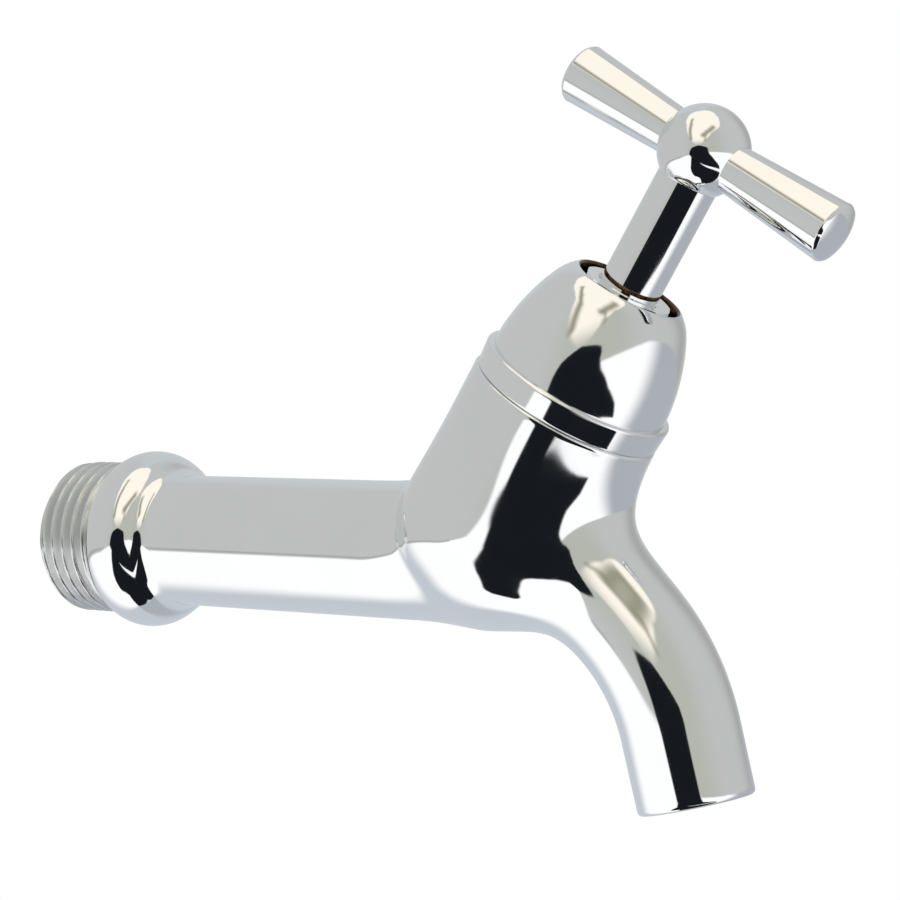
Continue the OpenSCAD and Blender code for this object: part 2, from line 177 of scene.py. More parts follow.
def skinned(name, sheets, ends=(), crease=body_crease):
    """Mesh object from grids of points in mm whose rows close on themselves. Rows
    that two grids share are joined, and each (grid, row) in ends gets a flat face.
    Four corners are a face, or three where one side has shrunk to a point. Edges
    that bend more than the crease angle stay sharp."""
    points = np.concatenate([sheet.reshape(-1, 3) for sheet in sheets])
    cells = np.round(points * weld_per_mm).astype(np.int64)
    first, joined = np.unique(cells, axis=0, return_index=True, return_inverse=True)[1:]
    cuts = np.cumsum([sheet.shape[0] * sheet.shape[1] for sheet in sheets])[:-1]
    numbers = [
        number.reshape(sheet.shape[:2])
        for number, sheet in zip(np.split(joined.reshape(-1), cuts), sheets)]
    corners = np.concatenate([
        np.stack([near[:-1], beside[:-1], beside[1:], near[1:]], -1).reshape(-1, 4)
        for near, beside in ((number, np.roll(number, -1, 1)) for number in numbers)])
    same = corners == np.roll(corners, -1, axis=1)
    whole = corners[~same.any(1)]
    thin = same.sum(1) == 1
    faces = whole.tolist() + corners[thin][~same[thin]].reshape(-1, 3).tolist()
    faces += [numbers[sheet][row].tolist() for sheet, row in ends]
    mesh = bpy.data.meshes.new(name)
    mesh.from_pydata((points[first] * mm).tolist(), [], faces)
    work = bmesh.new()
    work.from_mesh(mesh)
    bmesh.ops.recalc_face_normals(work, faces=work.faces)
    work.to_mesh(mesh)
    work.free()
    piece = bpy.data.objects.new(name, mesh)
    scene.collection.objects.link(piece)
    mesh.shade_smooth()
    mesh.set_sharp_from_angle(angle=np.radians(crease))
    return piece


def bored(piece, tools):
    """Takes each tool's volume out of the piece, leaves the tool's finish on the
    walls of the hole, and removes the tool."""
    for tool in tools:
        step = piece.modifiers.new("bore", "BOOLEAN")
        step.operation = "DIFFERENCE"
        step.solver = "EXACT"
        step.material_mode = "TRANSFER"
        step.object = tool
    depsgraph = bpy.context.evaluated_depsgraph_get()
    mesh = bpy.data.meshes.new_from_object(piece.evaluated_get(depsgraph))
    piece.modifiers.clear()
    piece.data = mesh
    mesh.name = piece.name
    mesh.shade_smooth()
    mesh.set_sharp_from_angle(angle=np.radians(body_crease))
    for tool in tools:
        bpy.data.objects.remove(tool)


# The thread's ridge rises and falls once each pitch along X less one turn of angle.
thread_x = np.linspace(0, thread_len, thread_rows)
ridge = (thread_x[:, None] / thread_pitch - body_angle / (2 * np.pi)) % 1.0
ridge = np.clip(flank_slope * (0.5 - np.abs(ridge - 0.5)) - flank_foot, 0, 1)
ridge = flank_straight * ridge + (1 - flank_straight) * eased(ridge)
thread_out = thread_root_r + (thread_r - thread_root_r) * ridge
run_out = eased((thread_len - thread_x) / (thread_run_out * thread_pitch))[:, None]
thread_out = thread_r + (thread_out - thread_r) * run_out
thread_out = np.minimum(thread_out, thread_end_r + thread_end_slope * thread_x[:, None])

# The bead is an arc over the thread's end, let into the barrel by a fillet.
bead_y = bead_r - bead_arc_r
bead_x = thread_len + np.sqrt(bead_arc_r ** 2 - (thread_r - bead_y) ** 2)
fillet_y = tail_r + bead_fillet_r
fillet_x = bead_x + np.sqrt((bead_arc_r + bead_fillet_r) ** 2 - (fillet_y - bead_y) ** 2)
bead_from = np.degrees(np.arctan2(thread_r - bead_y, thread_len - bead_x))
bead_to = np.degrees(np.arctan2(fillet_y - bead_y, fillet_x - bead_x))
barrel_x = np.linspace(fillet_x, tail_join, barrel_rings)[1:]
bead_line = np.concatenate([
    arc((bead_x, bead_y), bead_arc_r, bead_from, bead_to, 40)[1:],
    arc((fillet_x, fillet_y), bead_fillet_r, bead_to + 180, 270, 12)[1:],
    np.stack([barrel_x, np.full_like(barrel_x, tail_r)], -1)])
tail_sheet = np.concatenate([
    turned(thread_x, thread_out, np.zeros(3), tail_dir, body_around),
    turned(bead_line[:, 0], bead_line[:, 1], np.zeros(3), tail_dir, body_around)])

# Three tubes of rings start from one middle point and share their first half rings.
# Their rings stand closer together near that point by a power of their number.
tail_rings, tail_power = 49, 1.5
head_rings, head_power = 45, 1.3
spout_rings, spout_power, spout_leave, spout_right = 81, 1.1, 4.0, 1.6
middle = head_foot + np.array([2.0, 0.0, 1.0])
back_lean, front_lean, under_lean = np.radians([119.0, 8.0, -72.0])
head_mid = head_foot - head_set * front_dir
t = np.linspace(0, 1, tail_rings) ** tail_power
tail_tube = cast_rings(
    middle + t[:, None] * (tail_join * tail_dir - middle),
    back_lean + t * (np.pi / 2 - back_lean),
    under_lean + t * (-np.pi / 2 - under_lean))
t = np.linspace(0, 1, head_rings) ** head_power
head_rim = head_mid + (head_top - joint_round) * head_dir
head_tube = cast_rings(
    middle + t[:, None] * (head_rim - middle),
    back_lean + t * (head_rise + np.pi / 2 - back_lean),
    front_lean + t * (head_rise - np.pi / 2 - front_lean))
t = np.linspace(0, 1, spout_rings) ** spout_power
spout_len = (spout_arc + spout_end - lip_round) * t
spout_lean = np.minimum(spout_len / spout_bend, spout_turn)
leave = np.clip(spout_leave * t, 0, 1)[:, None]
righted = eased(spout_right * t)
spout_tube = cast_rings(
    middle + leave * (spout_line(spout_len) - middle),
    front_lean + righted * (np.pi / 2 - spout_lean - front_lean),
    under_lean + righted * (-np.pi / 2 - spout_lean - under_lean))
tail_sheet[-1] = tail_tube[-1]

# The joint face and the lip are flat, with rounded edges.
joint_line = arc((head_top - joint_round, head_r - joint_round), joint_round, 90, 0, 6)
joint_sheet = turned(joint_line[:, 0], joint_line[:, 1], head_mid, head_dir, body_around)
joint_sheet[0] = head_tube[-1]
spout_tip = spout_line(np.array(spout_arc + spout_end))
lip_line = arc((-lip_round, spout_tip_r - lip_round), lip_round, 90, 0, 8)
lip_sheet = turned(lip_line[:, 0], lip_line[:, 1], spout_tip, spout_dir, body_around)
lip_sheet[0] = spout_tube[-1]
tap_body = skinned(
    "tap_body_casting",
    [tail_sheet, tail_tube, head_tube, joint_sheet, spout_tube, lip_sheet],
    ends=[(0, 0), (3, -1), (5, -1)])

# Water ways: inlet bore, chamber under the seat, seat, socket for the headwork,
# bent passage and wider mouth. Each bore is a closed turned form that stands a
# little past the face it opens in.
inlet_bore_r, inlet_edge, mouth_edge, bore_past = 6.2, 0.5, 0.4, 1.0
under_chamber_r, under_depth, seat_floor, seat_wall = 5.8, 4.5, 6.0, 2.7
seat_bore_r, seat_lip_h, seat_lip_w = 4.75, 0.8, 0.95
socket_r, passage_r, passage_start, outlet_r = 8.37, 5.0, np.radians(16.4), 5.5
bore_around, passage_rings = 96, 40


def bore(name, rows, foot, axis):
    """Closed turned form through (along, out) rows that start and end on the axis."""
    rows = np.array(rows)
    return skinned(name, [turned(rows[:, 0], rows[:, 1], foot, axis, bore_around)])


inlet_bore = bore("inlet_bore", [
    (-bore_past, 0), (-bore_past, inlet_bore_r + inlet_edge),
    (0, inlet_bore_r + inlet_edge), (inlet_edge, inlet_bore_r),
    (head_x - under_depth, inlet_bore_r), (head_x - under_depth, 0)],
    np.zeros(3), tail_dir)
seat_lip_r = seat_bore_r + seat_lip_w
seat_top = seat_floor + seat_lip_h
headwork_bore = bore("headwork_bore", [
    (-under_depth, 0), (-under_depth, under_chamber_r),
    (seat_floor - seat_wall, under_chamber_r), (seat_floor - seat_wall, seat_bore_r),
    (seat_top, seat_bore_r), (seat_top, seat_lip_r),
    (seat_floor, seat_lip_r), (seat_floor, socket_r),
    (head_top + bore_past, socket_r), (head_top + bore_past, 0)], head_foot, head_dir)
mouth_bore = bore("mouth_bore", [
    (-spout_end - bore_past, 0), (-spout_end - bore_past, outlet_r),
    (-mouth_edge, outlet_r), (0, outlet_r + mouth_edge),
    (bore_past, outlet_r + mouth_edge), (bore_past, 0)], spout_tip, spout_dir)

# The passage is part of a ring round the centre of the spout's bend.
passage_turn = np.linspace(passage_start, spout_turn, passage_rings)[:, None]
passage_angle = np.arange(bore_around) * 2 * np.pi / bore_around
passage_out = spout_bend + passage_r * np.sin(passage_angle)
passage_sheet = np.stack([
    spout_x + np.sin(passage_turn) * passage_out,
    passage_r * np.cos(passage_angle) + 0 * passage_turn,
    np.cos(passage_turn) * passage_out - spout_bend], -1)
passage_bore = skinned("passage_bore", [passage_sheet], ends=[(0, 0), (0, -1)])


def new_finish(name, metallic):
    """New material: it, its node tree, its shader and the piece's own coordinates."""
    material = bpy.data.materials.new(name)
    material.use_nodes = True
    tree = material.node_tree
    shader = tree.nodes["Principled BSDF"]
    shader.inputs["Metallic"].default_value = metallic
    return material, tree, shader, tree.nodes.new("ShaderNodeTexCoord").outputs["Object"]


def noise(tree, place, waves, detail):
    """Soft noise from 0 to 1, with a number of waves to the metre."""
    node = tree.nodes.new("ShaderNodeTexNoise")
    node.inputs["Scale"].default_value = waves
    node.inputs["Detail"].default_value = detail
    tree.links.new(place, node.inputs["Vector"])
    return node.outputs["Fac"]


def tinted(tree, shader, value, spread, dark, tint):
    """Base colour that runs from dark to tint while a value crosses its spread."""
    ramp = tree.nodes.new("ShaderNodeValToRGB")
    for end, position, colour in zip(ramp.color_ramp.elements, spread, (dark, tint)):
        end.position = position
        end.color = (*colour, 1.0)
    tree.links.new(value, ramp.inputs["Fac"])
    tree.links.new(ramp.outputs["Color"], shader.inputs["Base Color"])


def glossed(tree, shader, value, spread, rough):
    """Roughness that runs between two amounts while a value crosses its spread."""
    node = tree.nodes.new("ShaderNodeMapRange")
    sockets = ("From Min", "From Max", "To Min", "To Max")
    for socket, amount in zip(sockets, (*spread, *rough)):
        node.inputs[socket].default_value = amount
    tree.links.new(value, node.inputs["Value"])
    tree.links.new(node.outputs["Result"], shader.inputs["Roughness"])


def raised(tree, shader, height, strength, depth):
    """Bump of a depth in mm that follows a height from 0 to 1."""
    node = tree.nodes.new("ShaderNodeBump")
    node.inputs["Strength"].default_value = strength
    node.inputs["Distance"].default_value = depth * mm
    tree.links.new(height, node.inputs["Height"])
    tree.links.new(node.outputs["Normal"], shader.inputs["Normal"])


def plated(name, tint, wave, wave_depth, marks=None, rough=(0.035, 0.075)):
    """Chromium plate: a metal whose tint, gloss and level vary with soft noise of
    the given size in mm. Marks turns the pattern's Z on to a lathe axis and adds
    faint rings across it, as a turned and polished piece keeps."""
    dull_share, mark_waves, mark_share = 0.985, 1800.0, 0.12
    material, tree, shader, place = new_finish(name, metallic=1.0)
    if marks is not None:
        lathe = tree.nodes.new("ShaderNodeMapping")
        lathe.inputs["Rotation"].default_value = marks
        tree.links.new(place, lathe.inputs["Vector"])
        place = lathe.outputs["Vector"]
    cloud = noise(tree, place, 1 / (wave * mm), detail=3.0)
    tinted(tree, shader, cloud, (0.35, 0.65), [c * dull_share for c in tint], tint)
    haze = noise(tree, place, waves=260.0, detail=4.0)
    glossed(tree, shader, haze, (0.3, 0.75), rough)
    height = cloud
    if marks is not None:
        axis = tree.nodes.new("ShaderNodeSeparateXYZ")
        tree.links.new(place, axis.inputs["Vector"])
        ring = tree.nodes.new("ShaderNodeTexNoise")
        ring.noise_dimensions = "1D"
        ring.inputs["Scale"].default_value = mark_waves
        tree.links.new(axis.outputs["Z"], ring.inputs["W"])
        both = tree.nodes.new("ShaderNodeMath")
        both.operation = "MULTIPLY_ADD"
        both.inputs[1].default_value = mark_share
        tree.links.new(ring.outputs["Fac"], both.inputs[0])
        tree.links.new(cloud, both.inputs[2])
        height = both.outputs["Value"]
    raised(tree, shader, height, strength=1.0, depth=wave_depth)
    return material


def workshop_metal(name, tint, dark, rough):
    """Bare metal: tint and a darker, tarnished tint in soft patches, the darker ones
    duller by the same noise."""
    dull, bright = 1.4, 0.7
    material, tree, shader, place = new_finish(name, metallic=1.0)
    patch = noise(tree, place, waves=420.0, detail=6.0)
    tinted(tree, shader, patch, (0.38, 0.62), dark, tint)
    glossed(tree, shader, patch, (0.0, 1.0), (rough * dull, rough * bright))
    raised(tree, shader, patch, strength=0.4, depth=0.02)
    return material


def face_values(mesh, what):
    """Centres in mm or normals of a mesh's faces, one row each."""
    values = np.empty(3 * len(mesh.polygons))
    mesh.polygons.foreach_get(what, values)
    return values.reshape(-1, 3) / (mm if what == "center" else 1.0)


def two_finishes(piece, main, other, where):
    """Gives a piece its main finish, and the other one to the faces in where."""
    piece.data.materials.append(main)
    piece.data.materials.append(other)
    piece.data.polygons.foreach_set("material_index", where.astype(np.int32))


chrome_tint = (0.87, 0.88, 0.885)
chrome_cast = plated("chrome_on_polished_casting", chrome_tint, 14.0, 0.006)
# The cut thread's plate is rougher than the casting's. Its darker tint is painted shade
# for the thread's grooves.
chrome_thread_painted_shade = plated(
    "chrome_on_cut_thread_painted_shade", (0.75, 0.76, 0.755), 1.2, 0.01, rough=(0.22, 0.38))
cored_brass = workshop_metal("cored_brass", (0.66, 0.46, 0.21), (0.42, 0.27, 0.11), 0.4)
body_faces = face_values(tap_body.data, "center")
two_finishes(tap_body, chrome_cast, chrome_thread_painted_shade, body_faces[:, 0] < thread_len)
water_ways = [inlet_bore, headwork_bore, mouth_bore, passage_bore]
for way in water_ways:
    way.data.materials.append(cored_brass)
bored(tap_body, water_ways)
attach(tap_body, "tap")
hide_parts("tap_body")


# Headwork: the turned brass bonnet screws into the head on a fibre washer, and
# its stuffing box holds a pale sealing ring under a brass washer. The cover hides
# all of it, apart from a glimpse past the gland nut.
def fibrous(name, tint, dark, rough, grain):
    """Pressed or moulded stuff without shine: two tints in a fine grain of the
    given size in mm, raised a little where it is lighter."""
    material, tree, shader, place = new_finish(name, metallic=0.0)
    shader.inputs["Roughness"].default_value = rough
    speck = noise(tree, place, 1 / (grain * mm), detail=5.0)
    tinted(tree, shader, speck, (0.3, 0.7), dark, tint)
    raised(tree, shader, speck, strength=0.6, depth=0.05)
    return material


def finished(node, material):
    """Gives a CAD node's object its finish."""
    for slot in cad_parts[node].material_slots:
        slot.link = "OBJECT"
        slot.material = material


turned_brass = workshop_metal("turned_brass", (0.80, 0.56, 0.24), (0.62, 0.38, 0.13), 0.22)
red_fibre = fibrous("red_fibre", (0.34, 0.11, 0.06), (0.20, 0.06, 0.04), 0.8, 0.5)
pale_packing = fibrous("pale_packing", (0.80, 0.80, 0.77), (0.64, 0.63, 0.59), 0.55, 0.4)
finished("bonnet_washer", red_fibre)
finished("bonnet", turned_brass)
finished("gland_packing", pale_packing)
finished("gland_washer", turned_brass)


# Gland nut: a small brass hexagon with a chamfered and plated top, which presses
# the packing down round the spindle and shows in the opening of the cover.
gland_low, gland_seat, gland_top = 33.3, 35.0, 38.2
gland_flat, gland_spigot_r, gland_bore_r, gland_bore_edge = 5.5, 5.56, 3.8, 0.3
chamfer_start, chamfer_slope, plated_lean = 0.1, 0.9, 0.3
gland_around, gland_rows, gland_crease = 192, 30, 24.0
gland_angle = np.arange(gland_around) * 2 * np.pi / gland_around
hexagon = gland_flat / np.cos((gland_angle + np.pi / 6) % (np.pi / 3) - np.pi / 6)
gland_side = np.linspace(gland_seat, gland_top, gland_rows)
gland_chamfer = gland_flat + chamfer_start + chamfer_slope * (gland_top - gland_side)
gland_along = np.concatenate([
    [gland_low, gland_low, gland_seat], gland_side,
    [gland_top, gland_top - gland_bore_edge, gland_low]])
gland_out = np.concatenate([
    np.full((1, gland_around), gland_bore_r), np.full((2, gland_around), gland_spigot_r),
    np.minimum(hexagon, gland_chamfer[:, None]),
    np.full((1, gland_around), gland_bore_r + gland_bore_edge),
    np.full((2, gland_around), gland_bore_r)])
gland_sheet = turned(gland_along, gland_out, head_foot, head_dir, gland_around)
gland_nut = skinned("gland_hexagon", [gland_sheet], crease=gland_crease)
head_turn = (0.0, -(np.pi / 2 - head_rise), 0.0)
chrome_turned = plated("chrome_on_turned_brass", chrome_tint, 18.0, 0.003, head_turn)
# Dark brass for the gland nut's sides and the cover's inside: brown tarnish, darkened to
# near black as painted shade under the cover.
brass_tarnish_and_painted_shade = workshop_metal(
    "brass_tarnish_and_painted_shade", (0.17, 0.08, 0.025), (0.02, 0.016, 0.014), 0.3)
# Faces that don't face up the head get the dark brass as painted shade: the sides,
# underside and bore. The top and chamfer are plated.
gland_painted_shade_sides = face_values(gland_nut.data, "normal") @ head_dir < plated_lean
two_finishes(gland_nut, chrome_turned, brass_tarnish_and_painted_shade, gland_painted_shade_sides)
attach(gland_nut, "tap")
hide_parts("gland_nut")


# Dome cover: a bell turned from brass and plated, with a plain band at its foot
# that sits on the head over the bonnet's collar, and a round opening for the spindle.
band_h, band_r, band_flare, band_round = 3.3, 12.2, 0.16, 0.4
dome_r, dome_mid, dome_side_r, dome_angle, dome_shoulder_r = 11.6, 2.3, 26.8, 25.6, 6.9
opening_r, cover_wall, crown_round, collar_r, collar_h = 6.5, 1.2, 0.35, 9.64, 4.9
cover_around, inward_lean = 192, -0.3
side_mid = np.array([dome_mid, dome_r - dome_side_r])


def leant(angle):
    """Direction that leans an angle in degrees from straight out, as (along, out):
    its sine and its cosine."""
    return np.array([np.sin(np.radians(angle)), np.cos(np.radians(angle))])


# Circles run into each other at the leans where they touch: step (foot of the bell),
# dome_angle (shoulder), crown (rounded edge of the opening), and the same inside.
shoulder = side_mid + (dome_side_r - dome_shoulder_r) * leant(dome_angle)
shoulder_in_r, side_in_r = dome_shoulder_r - cover_wall, dome_side_r - cover_wall
crown_arm = dome_shoulder_r - crown_round
step_lean = np.degrees(np.arcsin((band_h - dome_mid) / dome_side_r))
crown_lean = np.degrees(np.arccos((opening_r + crown_round - shoulder[1]) / crown_arm))
crown = shoulder + crown_arm * leant(crown_lean)
opening_lean = np.degrees(np.arccos((opening_r - shoulder[1]) / shoulder_in_r))
collar_lean = np.degrees(np.arcsin((collar_h - dome_mid) / side_in_r))

# Three rings on the band's side keep its smooth shading flat between the roundings.
band_foot = np.array([band_round, band_r])
band_head = np.array([band_h - band_round, band_r + band_flare])
band_side = band_foot + np.array([[0.03], [0.5], [0.97]]) * (band_head - band_foot)
round_in = np.array([0.0, band_round])
dome_line = np.concatenate([
    [(0.0, collar_r)],
    arc(band_foot - round_in, band_round, 180, 90, 9),
    band_side,
    arc(band_head - round_in, band_round, 90, 0, 9),
    arc(side_mid, dome_side_r, 90 - step_lean, 90 - dome_angle, 40),
    arc(shoulder, dome_shoulder_r, 90 - dome_angle, 90 - crown_lean, 30)[1:],
    arc(crown, crown_round, 90 - crown_lean, -90, 10)[1:],
    arc(shoulder, shoulder_in_r, 90 - opening_lean, 90 - dome_angle, 16),
    arc(side_mid, side_in_r, 90 - dome_angle, 90 - collar_lean, 16)[1:],
    [(collar_h, collar_r), (0.0, collar_r)]])
dome_sheet = turned(
    head_top + dome_line[:, 0], dome_line[:, 1], head_foot, head_dir, cover_around)
dome_cover = skinned("dome_bell", [dome_sheet])
bell_out = face_values(dome_cover.data, "center") - head_foot
bell_out -= (bell_out @ head_dir)[:, None] * head_dir
# The cover's inside faces get the dark brass: tarnish with painted shade in the hollow
# under the dome.
bell_inside = (bell_out * face_values(dome_cover.data, "normal")).sum(1) < inward_lean
two_finishes(dome_cover, chrome_turned, brass_tarnish_and_painted_shade, bell_inside)
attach(dome_cover, "tap")
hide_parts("dome_cover")


# Spindle: a brass rod with a coarse screw that works in the bonnet, a plain
# plated stem through the gland, and a square end driven into the handle's ball.
spindle_low, spindle_screw_len, spindle_screw_r, spindle_lead = 12.3, 11.7, 5.0, 2.5
stem_r, hub_low, square_half, square_len = 3.75, 53.01, 2.6, 6.2
pin_hole_r, pin_hole_len, jumper_gap = 2.25, 8.2, 0.02
screw_slope, screw_foot, screw_end, screw_step = 3.2, 0.3, 0.1, 0.2
corner_share, square_edge, square_bevel = 1.3, 0.3, 0.2
stem_around, screw_rows, stem_rows = 96, 60, 24
stem_angle = np.arange(stem_around) * 2 * np.pi / stem_around
screw_along = np.linspace(0, spindle_screw_len, screw_rows)
screw_ridge = (screw_along[:, None] / spindle_lead - stem_angle / (2 * np.pi)) % 1.0
screw_ridge = np.clip(screw_slope * (0.5 - np.abs(screw_ridge - 0.5)) - screw_foot, 0, 1)
screw_ends = np.minimum(screw_along, spindle_screw_len - screw_along)[:, None]
screw_out = stem_r + np.minimum(
    (spindle_screw_r - stem_r) * screw_ridge, screw_end + screw_ends)
one_square = 1 / np.maximum(np.abs(np.cos(stem_angle)), np.abs(np.sin(stem_angle)))
square = square_half * np.minimum(one_square, corner_share)
stem_along = hub_low - spindle_low
square_top = stem_along + square_len
spindle_rows = np.concatenate([
    [pin_hole_len, pin_hole_len, 0.0], screw_along,
    np.linspace(spindle_screw_len + screw_step, stem_along, stem_rows),
    [stem_along, square_top - square_edge, square_top, square_top]])
spindle_out = np.concatenate([
    np.tile([[0.0], [pin_hole_r], [pin_hole_r]], (1, stem_around)), screw_out,
    np.full((stem_rows, stem_around), stem_r), [square, square],
    [np.full(stem_around, square_half - square_bevel), np.zeros(stem_around)]])
spindle_along = spindle_low + np.maximum(spindle_rows, jumper_gap)
spindle = skinned(
    "spindle_rod", [turned(spindle_along, spindle_out, head_foot, head_dir, stem_around)])
spindle_face = (face_values(spindle.data, "center") - head_foot) @ head_dir
screw_faces = spindle_face < spindle_low + spindle_screw_len
two_finishes(spindle, chrome_turned, turned_brass, screw_faces)
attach(spindle, "handle")
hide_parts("spindle")


# Valve: the jumper plate hangs by its pin in the spindle's end and carries a
# rubber washer, held by a small nut, that closes on the seat.
seat_rubber = fibrous("seat_rubber", (0.035, 0.035, 0.037), (0.02, 0.02, 0.02), 0.62, 0.25)
finished("jumper", turned_brass)
finished("valve_washer", seat_rubber)
finished("washer_nut", turned_brass)


# Handle: a turned ball driven on the spindle's square, with two tapered arms
# screwed into its sides to make a tee bar. All three are polished and plated.
ball_s, ball_r, arm_root_r, arm_end_r = 57.1, 5.55, 2.95, 3.75
arm_len, arm_dome_h, arm_edge, arm_around = 20.5, 1.0, 0.3, 128
cone_step, end_share = 0.02, 0.93
ball_around, hole_play, hole_past, hole_room = 192, 0.04, 8.0, 0.1
ball_mid = head_foot + ball_s * head_dir
arm_seat = np.sqrt(ball_r ** 2 - arm_root_r ** 2)
seat_angle = np.degrees(np.arccos(arm_seat / ball_r))
ball_line = np.concatenate([
    [(-arm_seat, 0.0)],
    arc((0.0, 0.0), ball_r, 180 - seat_angle, seat_angle, 97),
    [(arm_seat, 0.0)]])
ball_sheet = turned(ball_line[:, 0], ball_line[:, 1], ball_mid, front_dir, ball_around)
handle_ball = skinned("handle_ball_turned", [ball_sheet])

# The hub's hole takes the ball's underside flat and leaves room for the square.
hub_foot = hub_low - ball_s
hub_end = hub_foot + square_len + hole_room
hole_rows = np.array([-hole_past, -hole_past, hub_foot, hub_foot, hub_end, hub_end])
hole_square = (square_half + hole_play) * one_square
hole_out = np.concatenate([
    np.zeros((1, stem_around)), np.full((2, stem_around), ball_r),
    [hole_square, hole_square], np.zeros((1, stem_around))])
hole_sheet = turned(hole_rows, hole_out, ball_mid, head_dir, stem_around)
hub_hole = skinned("hub_hole", [hole_sheet])
handle_ball.data.materials.append(chrome_turned)
hub_hole.data.materials.append(chrome_turned)
bored(handle_ball, [hub_hole])
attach(handle_ball, "handle")
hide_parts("handle_ball")

# Each arm is a cone that widens outwards, a small edge and a low domed end.
end_mid = arm_len - (arm_end_r ** 2 + arm_dome_h ** 2) / (2 * arm_dome_h)
rim_s = arm_len - arm_dome_h
rim_angle = np.degrees(np.arctan2(arm_end_r, rim_s - end_mid))
cone_end = np.array([rim_s - arm_edge, arm_end_r - cone_step])
cone_share = np.linspace(0, 1, 30)[:, None]
arm_root = np.array([arm_seat, arm_root_r])
arm_line = np.concatenate([
    [(arm_seat, 0.0)],
    arm_root + cone_share * (cone_end - arm_root),
    arc((rim_s - arm_edge, arm_end_r - arm_edge), arm_edge, 88, 40, 7),
    arc((end_mid, 0.0), arm_len - end_mid, rim_angle * end_share, 0, 18)])
arm_turn = (0.0, -(np.pi - head_rise), 0.0)
chrome_arm = plated("chrome_on_tee_arms", chrome_tint, 20.0, 0.003, arm_turn)
for node, axis in (("arm_rear", -front_dir), ("arm_front", front_dir)):
    arm_sheet = turned(arm_line[:, 0], arm_line[:, 1], ball_mid, axis, arm_around)
    arm = skinned(node + "_turned", [arm_sheet])
    arm.data.materials.append(chrome_arm)
    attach(arm, "handle")
    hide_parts(node)


# Studio: a shell of soft light round the tap that the plate mirrors: a pale room,
# a white table below eye level, a cream softbox overhead with three dark ribs, and
# dark gear round the camera. Only the pale floor is seen by the camera itself.
studio_mid, studio_r = np.array([0.071, 0.0, 0.01]), 0.35
room_front, room_side, room_back = (181, 183, 174), (189, 191, 190), (193, 197, 200)
table_front, table_side, table_back = (255, 255, 255), (170, 174, 180), (193, 198, 205)
softbox_cream, rib_olive, gear_black = (255, 247, 234), (133, 133, 113), (22, 26, 30)
plate_share = 0.875

# Each point of the shell has a turn from the camera's side and a rise above level,
# in degrees. The grid is fine in front, where the forms have their edges.
turn, rise = np.meshgrid(
    np.concatenate([
        np.linspace(-180, -72, 44), np.linspace(-70, 80, 301), np.linspace(82, 180, 40)]),
    np.concatenate([
        np.linspace(-90, -72, 8), np.linspace(-70, 20, 181), np.linspace(21, 90, 50)]))


def light(screen):
    """Linear light of a screen colour: its share of 255 plus 0.055, over 1.055, to
    the power 2.4, and brighter by the share that the plate takes away."""
    return ((np.array(screen) / 255 + 0.055) / 1.055) ** 2.4 / plate_share


def edge(past_line, width):
    """Soft edge: 0 outside a line and 1 inside it, eased over a width in degrees."""
    return eased(past_line / width + 0.5)[..., None]


def laid(under, over, share):
    """One light laid over another where its share is 1."""
    return under + (light(over) - under) * share


def strip(path, width):
    """Share of a strip of a width in degrees along a line of (turn, rise) points:
    the least of the distances to its straight runs, eased at both sides."""
    ends = np.array(path, float)
    run = np.diff(ends, axis=0)[:, None, None]
    off = np.stack([turn, rise], -1) - ends[:-1, None, None]
    share = np.clip((off * run).sum(-1) / (run * run).sum(-1), 0, 1)
    off = off - share[..., None] * run
    away = np.hypot(off[..., 0] * np.cos(np.radians(rise)), off[..., 1]).min(0)
    return edge(width / 2 - away, width)


def between(rises, lefts, rights, width):
    """Share of a form that spans two turns at each rise, eased at both sides."""
    past_left = turn - np.interp(rise, rises, lefts)
    past_right = np.interp(rise, rises, rights) - turn
    return edge(np.minimum(past_left, past_right), width)


# The room changes tone to its sides and back, with a dim corner at the right.
side_turn, side_soft, back_turn, back_soft = 40, 50, 158, 18
corner_turn, corner_width, corner_dim, corner_top, corner_soft = 132, 20, 0.26, 45, 30
corner = np.exp(-((turn - corner_turn) / corner_width) ** 2)[..., None]
corner = corner * edge(corner_top - rise, corner_soft)
glow = light(room_front) + 0 * turn[..., None]
glow = laid(glow, room_side, edge(np.abs(turn) - side_turn, side_soft))
glow = glow * (1 - corner_dim * corner)
glow = laid(glow, room_back, edge(np.abs(turn) - back_turn, back_soft))

# The table ends in a horizon that is lower at the left, where a dim line lies above it.
table_side_turn, table_side_soft = 73, 30
table_back_left, table_back_right, table_back_soft = -120, 158, 34
table_behind = np.maximum(table_back_left - turn, turn - table_back_right)
table = light(table_front) + 0 * glow
table = laid(table, table_side, edge(turn - table_side_turn, table_side_soft))
table = laid(table, table_back, edge(table_behind, table_back_soft))
horizon = np.interp(turn, [-180, -70, -35, 10, 60, 180], [-13, -13, -7, -2, -1, -9])
horizon_soft, dim_share = 2.0, 0.5
dim_line = strip([(-180, -12), (-60, -10)], width=2.0)
glow = laid(glow, rib_olive, dim_share * dim_line)
glow = glow + (table - glow) * edge(horizon - rise, horizon_soft)

# The softbox widens upwards and fades in from below; its ribs are three strips.
softbox_low, softbox_fade, rib_share, short_rib_share = 20, 20.0, 0.9, 0.6
softbox = between(
    [10, 20, 30, 40, 50, 60, 70, 80],
    [-16, -28, -38, -46, -54, -66, -100, -200],
    [-16, -6, 6, 18, 46, 62, 90, 200], width=6.0)
glow = laid(glow, softbox_cream, softbox * edge(rise - softbox_low, softbox_fade))
left_rib = strip([(-34, 28), (-39, 40), (-47, 60), (-60, 72)], width=6.0)
right_rib = strip([(-4, 36), (8, 43), (26, 51)], width=9.0)
short_rib = strip([(0, 25), (2, 36)], width=5.0)
glow = laid(glow, rib_olive, rib_share * left_rib)
glow = laid(glow, rib_olive, rib_share * right_rib)
glow = laid(glow, rib_olive, short_rib_share * short_rib)

